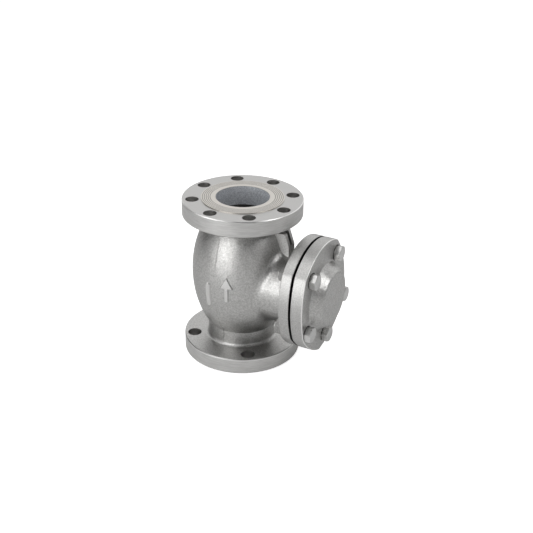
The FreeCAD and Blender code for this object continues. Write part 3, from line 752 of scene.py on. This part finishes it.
def raised_mark(name, inside, azimuth, centre, width, height, rise):
    """Mark cast on the bulb: a patch of the bulb's own surface that climbs where a shape lies.

    inside gives the distance into the shape's outline for places across and up. The height climbs
    within the draft's width of the outline and is flat on top, and outside the outline the patch lies
    just under the casting.
    """
    across, up = np.meshgrid(np.linspace(-0.5, 0.5, MARK_COLUMNS) * width,
                             np.linspace(-0.5, 0.5, MARK_ROWS) * height)
    climb = np.clip(inside(across, up) / MARK_DRAFT + 0.5, 0, 1)
    z = centre + up
    bulb = body_radius(z)
    turn = math.radians(azimuth) + across / bulb
    radius = bulb - MARK_UNDER + (rise + MARK_UNDER) * climb * climb * (3 - 2 * climb)
    piece = grid_piece(name, round_points(radius, turn, z), rubbed_steel)
    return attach(piece, "root")


def in_arrow(across, up):
    """Distance into an arrow that points up: a bar with a three-cornered head.

    At the head's slanting sides the distance across counts for less, by the share ARROW_SLANT.
    """
    from_tip = ARROW_LENGTH / 2 - up
    half_width = from_tip * ARROW_WIDTH / 2 / ARROW_HEAD
    head = np.minimum((half_width - np.abs(across)) * ARROW_SLANT, ARROW_HEAD - from_tip)
    bar = np.minimum(ARROW_BAR / 2 - np.abs(across),
                     np.minimum(up + ARROW_LENGTH / 2, from_tip - ARROW_HEAD / 2))
    return np.maximum(head, bar)


def in_pad(across, up):
    """Distance into a plain upright bar with round ends."""
    past = np.maximum(np.abs(up) - (PAD_LENGTH - PAD_WIDTH) / 2, 0)
    return PAD_WIDTH / 2 - np.hypot(across, past)


def stage_floor():
    """Pale floor that reads as white and keeps the object's soft shadow.

    For the camera it glows as well, which lifts the far floor to white. In reflections it glows
    less, so that the metal shows a pale floor with the lamps' light and the object's shadow on it.
    """
    bpy.ops.mesh.primitive_plane_add(size=FLOOR_SIZE, location=(0, 0, 0))
    floor = bpy.context.object
    floor.name = "floor"
    pale = bpy.data.materials.new("pale_floor")
    pale.use_nodes = True
    nodes = Nodes(pale.node_tree)
    nodes.tree.nodes.clear()
    seen = nodes.add("ShaderNodeLightPath").outputs
    straight = nodes.any_of(seen["Is Camera Ray"], seen["Is Transmission Ray"])
    mirrored = nodes.math("MULTIPLY", seen["Is Glossy Ray"], FLOOR_GLOW_MIRRORED)
    matt = nodes.add("ShaderNodeBsdfDiffuse", FLOOR_COLOUR).outputs[0]
    glow = nodes.add("ShaderNodeEmission", WHITE, nodes.number(straight, mirrored, FLOOR_GLOW)).outputs[0]
    nodes.add("ShaderNodeOutputMaterial", nodes.add("ShaderNodeAddShader", matt, glow).outputs[0])
    floor.data.materials.append(pale)


def direction(azimuth, elevation):
    """Unit vector from the object towards an azimuth and elevation; azimuth 0 is -Y and 90 is +X."""
    turn, lift = math.radians(azimuth), math.radians(elevation)
    return Vector((math.sin(turn) * math.cos(lift), -math.cos(turn) * math.cos(lift), math.sin(lift)))


def soft_box(name, azimuth, elevation, width, height, level):
    """Rectangular lamp that faces the middle of the object, as bright in a mirror as its level."""
    lamp = bpy.data.lights.new(name, "AREA")
    lamp.shape = "RECTANGLE"
    lamp.size, lamp.size_y = width, height
    lamp.energy = level * math.pi * width * height
    box = bpy.data.objects.new(name, lamp)
    towards = direction(azimuth, elevation)
    box.location = Vector(LAMP_TARGET) + towards * LAMP_DISTANCE
    box.rotation_mode = "QUATERNION"
    box.rotation_quaternion = (-towards).to_track_quat("-Z", "Y")
    bpy.context.scene.collection.objects.link(box)


def studio_world():
    """White for the camera. In reflections it is white behind the object, with a low bright band at
    the camera's side, and dark elsewhere. Matt surfaces get a weak even fill.
    """
    world = bpy.data.worlds.new("studio")
    bpy.context.scene.world = world
    world.use_nodes = True
    nodes = Nodes(world.node_tree)
    nodes.tree.nodes.clear()
    seen = nodes.add("ShaderNodeLightPath").outputs
    place = nodes.add("ShaderNodeTexCoord").outputs["Generated"]
    height = nodes.add("ShaderNodeSeparateXYZ", place).outputs["Z"]
    to_camera = nodes.add("ShaderNodeVectorMath", place, direction(CAMERA_AZIMUTH + WORLD_TURN, 0),
                          operation="DOT_PRODUCT").outputs["Value"]
    around = nodes.ramp(to_camera, *BACK_TURN, WORLD_BACK, WORLD_DARK_SIDE)
    in_front = nodes.ramp(to_camera, *HORIZON_TURN, 0.0, WORLD_HORIZON)
    horizon = nodes.ramp(height, *HORIZON_TOP, in_front, 0.0)
    mirrored, fill, white = (nodes.add("ShaderNodeBackground", WHITE, strength).outputs[0] for strength in
                             (nodes.math("MAXIMUM", around, horizon), WORLD_FILL, 1.0))
    straight = nodes.any_of(seen["Is Camera Ray"], seen["Is Transmission Ray"])
    lighting = nodes.add("ShaderNodeMixShader", seen["Is Glossy Ray"], fill, mirrored).outputs[0]
    shown = nodes.add("ShaderNodeMixShader", straight, lighting, white).outputs[0]
    nodes.add("ShaderNodeOutputWorld", shown)


def photograph_camera():
    """Camera at the photograph's place: its distance and aim, with the small turn about its own axis."""
    elevation, yaw, pitch, roll = (math.radians(angle) for angle in
                                   (CAMERA_ELEVATION, CAMERA_YAW, CAMERA_PITCH, CAMERA_ROLL))
    ahead = Vector((math.sin(yaw) * math.cos(pitch), math.cos(yaw) * math.cos(pitch), -math.sin(pitch)))
    right = ahead.cross(Vector((0, 0, 1))).normalized()
    up = right.cross(ahead)
    tilted_right = right * math.cos(roll) + up * math.sin(roll)
    tilted_up = up * math.cos(roll) - right * math.sin(roll)
    pose = Matrix((tilted_right, tilted_up, -ahead)).transposed().to_4x4()
    pose.translation = Vector((0, -CAMERA_DISTANCE * math.cos(elevation),
                               CAMERA_DISTANCE * math.sin(elevation) + CAMERA_TARGET_HEIGHT))
    lens = bpy.data.cameras.new("camera")
    lens.sensor_width = SENSOR_WIDTH
    lens.lens = FOCAL_PIXELS / FRAME_PIXELS * SENSOR_WIDTH
    lens.clip_start, lens.clip_end = NEAREST_SEEN, FARTHEST_SEEN
    camera = bpy.data.objects.new("camera", lens)
    bpy.context.scene.collection.objects.link(camera)
    camera.matrix_world = Matrix.Rotation(math.radians(CAMERA_AZIMUTH), 4, "Z") @ pose
    bpy.context.scene.camera = camera


body_steel = body_finish()
bolt_steel = bolting_finish("bright_bolting", STEEL_BRIGHT, STEEL)
hinge_steel = hinge_finish()
bronze = bronze_finish()
ringed_steel = ringed_finish()
rubbed_steel = rubbed_finish()
finishes = {
    "valve_body": body_steel,
    "bonnet_cover": cover_finish(),
    "cover_gasket": graphite_finish(),
    # The nuts take a darker steel than the bolts: painted shade, standing in for the shadow they sit in
    # behind the branch flange
    "cover_nuts": bolting_finish("nuts_in_painted_shade", STEEL_DARK, darker(STEEL_DARK, 0.7)),
    "seat_ring": turned_finish("lapped_seat", SEAT_STEEL, 0.24, 0.8 * MM),
    "disc": turned_finish("turned_disc", DISC_STEEL, 0.32, 1.2 * MM),
    "swing_arm": hinge_steel,
    "hinge_bracket": hinge_steel,
    "hinge_pin": hinge_steel,
    "arm_bush_left": bronze,
    "arm_bush_right": bronze,
}
for node_name, node in frame["nodes"].items():
    for material_slot in node.material_slots:
        material_slot.material = finishes.get(node_name, bolt_steel)

turned_face("outlet_face_rings", LENGTH, 1)
turned_face("inlet_face_rings", 0.0, -1)
cover_bolt_threads()
disc_stud_thread()
parting_line()
raised_mark("flow_arrow", in_arrow, azimuth=-79.0, centre=172.0 * MM, width=28.0 * MM,
            height=56.0 * MM, rise=3.0 * MM)
raised_mark("blank_name_pad", in_pad, azimuth=-103.0, centre=152.0 * MM, width=12.0 * MM,
            height=54.0 * MM, rise=2.2 * MM)

stage_floor()
studio_world()
for lamp_values in LAMPS:
    soft_box(*lamp_values)
photograph_camera()
bpy.context.scene.view_settings.view_transform = "Standard"
